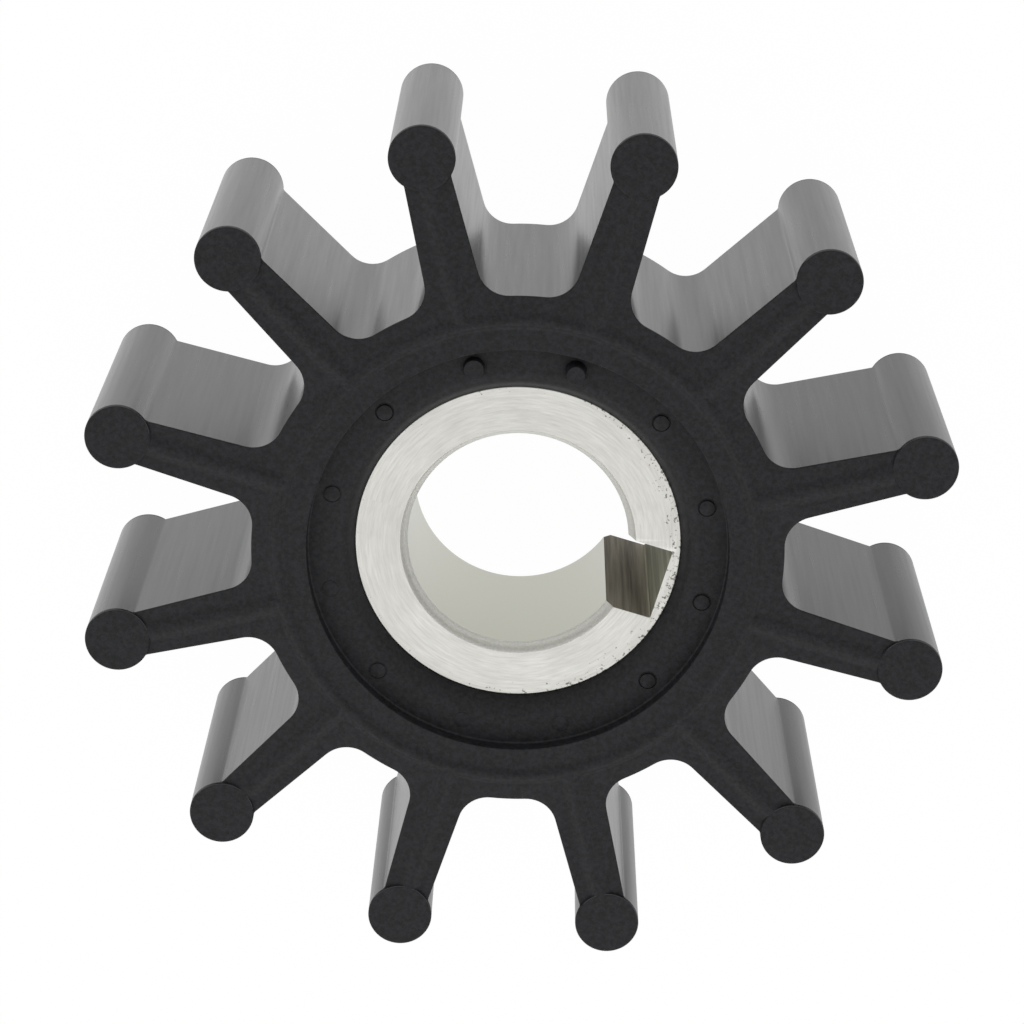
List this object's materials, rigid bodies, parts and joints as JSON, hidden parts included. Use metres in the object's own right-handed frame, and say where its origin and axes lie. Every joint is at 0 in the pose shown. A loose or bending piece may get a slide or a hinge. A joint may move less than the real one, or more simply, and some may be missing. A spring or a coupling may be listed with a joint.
{
  "type": "pump impeller",
  "caption": "Flexible rubber pump impeller with straight beaded vanes, bonded to a metal hub insert with a keyed shaft bore.",
  "frame": {"origin": "on the axis, in the plane of the lower sealing face that the impeller lies on", "axes": "+Z along the axis, out of the end with the gate stubs; +X through the keyway and the vane in line with it"},
  "size_m": [0.06, 0.06, 0.02],
  "materials": {
    "moulded_rubber": "matte",
    "turned_aluminium": "satin"
  },
  "bodies": {
    "root": {"rubber_body": "moulded_rubber", "hub_insert": "turned_aluminium"}
  },
  "joints": []
}
